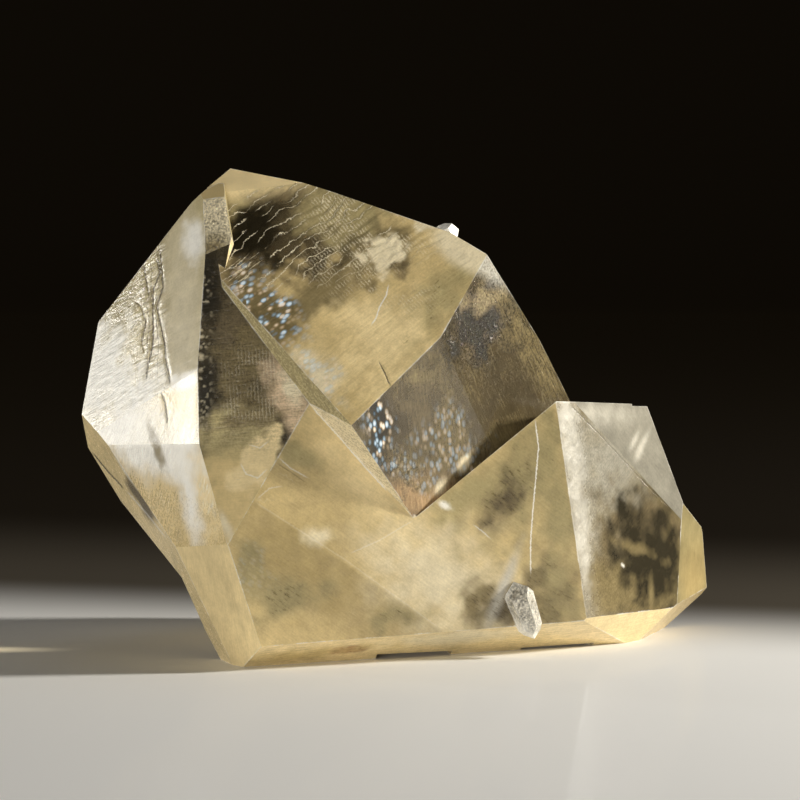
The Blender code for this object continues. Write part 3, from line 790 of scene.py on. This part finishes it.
def calciteMaterial():
    amount = shaderMarks
    material = bpy.data.materials.new("goldenCalcite")
    material.use_nodes = True
    tree = material.node_tree
    shader = tree.nodes["Principled BSDF"]

    def made(kind, **settings):
        node = tree.nodes.new("ShaderNode" + kind)
        for key, value in settings.items():
            setattr(node, key, value)
        return node

    def feed(socket, value):
        if isinstance(value, bpy.types.NodeSocket):
            tree.links.new(value, socket)
        else:
            socket.default_value = value

    def maths(operation, *values, clamp=False):
        node = made("Math", operation=operation, use_clamp=clamp)
        for socket, value in zip(node.inputs, values):
            feed(socket, value)
        return node.outputs[0]

    def times(*values):
        return reduce(lambda first, second: maths("MULTIPLY", first, second), values)

    def highest(*values):
        return reduce(lambda first, second: maths("MAXIMUM", first, second), values)

    def mapped(*values):
        # the value, its span, and the two numbers that it goes to, or else 0 and 1
        node = made("MapRange", interpolation_type="SMOOTHSTEP")
        for key, value in zip(("Value", "From Min", "From Max", "To Min", "To Max"), values):
            feed(node.inputs[key], value)
        return node.outputs[0]

    def mixed(share, first, second, blend="MIX"):
        node = made("Mix", data_type="RGBA", blend_type=blend)
        feed(node.inputs["Factor"], share)
        for key, value in (("A", first), ("B", second)):
            feed(node.inputs[key], value if isinstance(value, bpy.types.NodeSocket) else (*value, 1))
        return node.outputs["Result"]

    def noiseOf(vector, name):
        node = made("TexNoise")
        feed(node.inputs["Vector"], vector)
        for key, value in zip(("Scale", "Detail", "Roughness"), shaderNoises[name]):
            feed(node.inputs[key], value)
        return node.outputs["Fac"]

    def stretched(name):
        node = made("VectorMath", operation="MULTIPLY")
        feed(node.inputs[0], facetSpot.outputs["Vector"])
        feed(node.inputs[1], drawnOut[name])
        return node.outputs[0]

    def peaks(noise, thickness, name):
        start, lowered, softness = amount[name]
        bar = maths("SUBTRACT", start, times(thickness, lowered))
        return mapped(noise, bar, maths("ADD", bar, softness))

    def lineOf(away, there, name):
        return times(mapped(maths("ABSOLUTE", maths("ADD", away, wander)), *amount[name]), there)

    def stored(name):
        return made("Attribute", attribute_type="GEOMETRY", attribute_name=name)

    bloom, marks = stored("bloom"), stored("marks")
    steps, lines, facetSpot, veins = (stored(name) for name in ("steps", "lines", "facetSpot", "veins"))
    marksParts = made("SeparateColor")
    feed(marksParts.inputs[0], marks.outputs["Color"])
    frost, grain, streak = (marksParts.outputs[i] for i in range(3))
    fleck = marks.outputs["Alpha"]
    stepParts, lineParts, veinParts = (made("SeparateXYZ") for part in range(3))
    feed(veinParts.inputs[0], veins.outputs["Color"])
    wisp, glint, darkThere = veinParts.outputs
    whiteThere = veins.outputs["Alpha"]
    feed(stepParts.inputs[0], steps.outputs["Vector"])
    feed(lineParts.inputs[0], lines.outputs["Vector"])
    phase, threads, hatch = stepParts.outputs
    darkAway, whiteAway, edgeAway = lineParts.outputs

    place = made("VectorMath", operation="SCALE")
    feed(place.inputs[0], made("TexCoord").outputs["Object"])
    feed(place.inputs["Scale"], 1 / mm)
    fine, cloud = (noiseOf(place.outputs[0], name) for name in ("fine", "cloud"))
    strand, fibre = (noiseOf(stretched(name), name) for name in ("strand", "fibre"))
    wispy = peaks(fibre, wisp, "fibreBar")
    glinting = peaks(strand, glint, "glintBar")
    around = times(maths("SUBTRACT", fine, 0.5), amount["swing"])

    # how much scatters at each point
    grainy = times(around, grain, amount["grain"])
    stranded = times(maths("SUBTRACT", strand, 0.5), streak, amount["streak"])
    marked = maths("ADD", grainy, stranded)
    cloudy = times(maths("SUBTRACT", cloud, 0.5), amount["cloud"])
    stirred = maths("ADD", times(marked, amount["stir"]), cloudy)
    haze = maths("ADD", bloom.outputs["Alpha"], stirred, clamp=True)
    haze = times(haze, maths("SUBTRACT", 1.0, times(wispy, amount["wispClears"])))
    # a painted highlight along the lips of the terraces
    wavy = maths("FRACT", maths("ADD", phase, times(around, amount["threadWander"])))
    lip = mapped(maths("ABSOLUTE", maths("SUBTRACT", wavy, 0.5)), 0.0, amount["threadWidth"], 1.0, 0.0)
    threadSheen = times(lip, threads)
    spot = made("SeparateXYZ")
    feed(spot.inputs[0], facetSpot.outputs["Vector"])
    waves = times(spot.outputs[0], amount["hatchWaves"])
    ripple = maths("SINE", maths("ADD", waves, times(around, amount["hatchWander"])))
    hatching = times(mapped(ripple, *amount["hatchSpan"]), hatch)
    wander = times(around, amount["lineWander"])
    # the bright line along the edges: worn edges and a painted highlight
    edge = mapped(maths("ADD", edgeAway, wander), 0.0, amount["edgeWidth"], 1.0, 0.0)
    edge = times(edge, mapped(cloud, *amount["edgePatches"]))
    # pale lines: healed cracks, and painted glints and reflections
    white = lineOf(whiteAway, whiteThere, "whiteLine")
    dark = lineOf(darkAway, darkThere, "darkLine")

    # rainbow specks: a painted sparkle of light
    cells = made("TexVoronoi", feature="F1")
    feed(cells.inputs["Vector"], stretched("speck"))
    feed(cells.inputs["Scale"], 1.0)
    cellParts = made("SeparateColor", mode="HSV")
    feed(cellParts.inputs[0], cells.outputs["Color"])
    sparkle = made("CombineColor", mode="HSV")
    cool = times(maths("GREATER_THAN", cellParts.outputs[0], amount["speckSplit"]), amount["speckCool"])
    feed(sparkle.inputs[0], maths("ADD", cool, amount["speckWarm"]))
    feed(sparkle.inputs[1], maths("MULTIPLY", cells.outputs["Distance"], amount["speckColour"], clamp=True))
    feed(sparkle.inputs[2], 1.0)
    core = mapped(cells.outputs["Distance"], *amount["speckCore"])
    lit = times(core, mapped(cellParts.outputs[2], *amount["speckShare"]), fleck)

    bright = highest(threadSheen, times(hatching, amount["hatching"]), times(glinting, amount["glinting"]))
    pale = highest(white, edge)
    total = highest(haze, bright, pale, lit, dark)
    feed(shader.inputs["Transmission Weight"], maths("SUBTRACT", 1.0, total, clamp=True))

    shade = maths("ADD", times(marked, amount["toneMarks"]), times(cloudy, amount["toneCloud"]))
    toned = made("VectorMath", operation="SCALE")
    feed(toned.inputs[0], bloom.outputs["Color"])
    feed(toned.inputs["Scale"], maths("ADD", 1.0, shade))
    colour = mixed(times(wispy, amount["toneWisp"]), toned.outputs[0], markColours["wisp"], "MULTIPLY")
    colour = mixed(bright, colour, markColours["bright"])
    colour = mixed(pale, colour, markColours["pale"])
    colour = mixed(lit, colour, sparkle.outputs[0])
    colour = mixed(dark, colour, markColours["dark"])
    feed(shader.inputs["Base Color"], colour)

    rough = maths("ADD", frost, times(total, amount["roughScatter"]))
    rough = maths("ADD", rough, times(around, amount["roughFine"]), clamp=True)
    feed(shader.inputs["Roughness"], rough)
    shader.inputs["IOR"].default_value = clearCalcite["ior"]

    bump = made("Bump")
    grains = times(fine, grain, amount["bumpGrain"])
    height = maths("ADD", grains, times(strand, streak, amount["bumpStrand"]))
    height = maths("ADD", height, times(bright, amount["bumpBright"]))
    feed(bump.inputs["Height"], maths("SUBTRACT", height, times(dark, amount["bumpDark"])))
    feed(bump.inputs["Distance"], mm)
    feed(shader.inputs["Normal"], bump.outputs["Normal"])

    depth = made("VolumeAbsorption")
    feed(depth.inputs["Color"], (*clearCalcite["absorbs"], 1))
    feed(depth.inputs["Density"], clearCalcite["density"])
    tree.links.new(depth.outputs["Volume"], tree.nodes["Material Output"].inputs["Volume"])
    return material


def nameOfFace(face):
    spot = face.calc_center_median() / mm
    best, bestMatch = "hidden", cos(radians(faceMatch))
    for name, values in crystalFaces.items():
        if values["looks"]:
            match = face.normal.dot(faceNormal(*values["looks"]))
            if match > bestMatch:
                best, bestMatch = name, match
    if best == "hidden":
        for centre, reach in smallCrystals.values():
            if (spot - Vector(centre)).length < reach:
                return "small"
    return best


# The skin: the gap in m that joins points, the turn in radians that counts as flat, how much coarser the
# quick mesh is, the rounds of splitting, and how far each of them evens the points out
skinMesh = {"join": 1e-6, "flat": 0.003, "coarse": 2.5, "rounds": 14, "even": 0.5}
facetShift = 7.0  # from each face's noise to the next one's


def refineCrystal(node):
    # splits the faces finely, each to its own edge length, and keeps which face every triangle came from
    mesh = bmesh.new()
    mesh.from_mesh(node.data)
    bmesh.ops.remove_doubles(mesh, verts=mesh.verts, dist=skinMesh["join"])
    bmesh.ops.dissolve_limit(mesh, angle_limit=skinMesh["flat"], verts=mesh.verts, edges=mesh.edges)
    mesh.normal_update()
    plane = mesh.faces.layers.int.new("facePlane")
    facets = []
    for index, face in enumerate(mesh.faces):
        face[plane] = index
        outline = [[tuple(v.co / mm) for v in edge.verts] for edge in face.edges]
        # edges that turn sharply carry the bright line: worn edges with a painted highlight
        turns = [edge.calc_face_angle(1.0) > radians(faintEdge) for edge in face.edges]
        worn = [line for line, turn in zip(outline, turns) if turn]
        name, normal = nameOfFace(face), np.array(face.normal)
        facets.append({"name": name, "normal": normal, "outline": outline, "worn": worn})
    bmesh.ops.triangulate(mesh, faces=mesh.faces)
    coarse = 1
    goals = [crystalFaces[facet["name"]]["mesh"] * coarse * mm for facet in facets]
    for step in range(skinMesh["rounds"]):
        longEdges = [e for e in mesh.edges if e.calc_length() > min(goals[f[plane]] for f in e.link_faces)]
        if not longEdges:
            break
        bmesh.ops.subdivide_edges(mesh, edges=longEdges, cuts=1)
        bmesh.ops.triangulate(mesh, faces=[f for f in mesh.faces if len(f.verts) > 3])
        inner = [v for v in mesh.verts if len({f[plane] for f in v.link_faces}) == 1]
        allAxes = {"use_axis_x": True, "use_axis_y": True, "use_axis_z": True}
        bmesh.ops.smooth_vert(mesh, verts=inner, factor=skinMesh["even"], **allAxes)
    for face in mesh.faces:
        face.smooth = True
    for edge in mesh.edges:
        edge.smooth = edge.link_faces[0][plane] == edge.link_faces[-1][plane]
    print("crystal skin:", len(mesh.faces), "triangles")
    data = bpy.data.meshes.new("crystalSkin")
    mesh.to_mesh(data)
    mesh.free()
    return data, facets


# What each layer of marks on the corners of the skin holds
markLayers = {
    "bloom": ("red", "green", "blue", "haze"),
    "marks": ("frost", "grain", "streak", "fleck"),
    "veins": ("wisp", "glint", "darkThere", "whiteThere"),
    "steps": ("phase", "threads", "hatch"),
    "lines": ("darkAway", "whiteAway", "edgeAway"),
    "facetSpot": ("along", "across", "shift"),
}


def markFaces(data, facets):
    # writes the marks of every face to its corners, and raises the relief on its inner points
    spots = np.empty(len(data.vertices) * 3)
    data.vertices.foreach_get("co", spots)
    spots = spots.reshape(-1, 3) / mm
    owner = np.empty(len(data.polygons), np.int32)
    data.attributes["facePlane"].data.foreach_get("value", owner)
    corners = np.empty(len(data.loops), np.int32)
    data.loops.foreach_get("vertex_index", corners)
    cornerOwner = np.repeat(owner, 3)
    layers = {name: np.zeros((len(corners), len(keys))) for name, keys in markLayers.items()}
    faceCount = np.zeros(len(spots))
    shift = np.zeros_like(spots)
    for index, facet in enumerate(facets):
        mine = np.nonzero(cornerOwner == index)[0]
        points, back = np.unique(corners[mine], return_inverse=True)
        fields = faceFields(facet["name"], spots[points], facet["normal"], facet["outline"], facet["worn"])
        fields["red"], fields["green"], fields["blue"] = fields["bloom"].T
        fields["shift"] = np.full(len(points), facetShift * index)
        for name, keys in markLayers.items():
            layers[name][mine] = np.stack([fields[key] for key in keys], axis=1)[back]
        faceCount[points] += 1
        shift[points] += fields["height"][:, None] * facet["normal"]
    shift[faceCount > 1] = 0
    data.vertices.foreach_set("co", ((spots + shift) * mm).ravel())
    for name, values in layers.items():
        kind, key = ("FLOAT_COLOR", "color") if values.shape[1] == 4 else ("FLOAT_VECTOR", "vector")
        layer = data.attributes.new(name, kind, "CORNER")
        layer.data.foreach_set(key, values.ravel())
    data.update()


def buildCrystal():
    data, facets = refineCrystal(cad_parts["calcite_twin"])
    markFaces(data, facets)
    data.materials.append(calciteMaterial())
    skin = bpy.data.objects.new("crystalSkin", data)
    scene.collection.objects.link(skin)
    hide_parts("calcite_twin")
    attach(skin, "root")
    print("crystal built")


addCamera()
addLights()
addFloor()
setWorld()
print("studio ready")
buildCrystal()
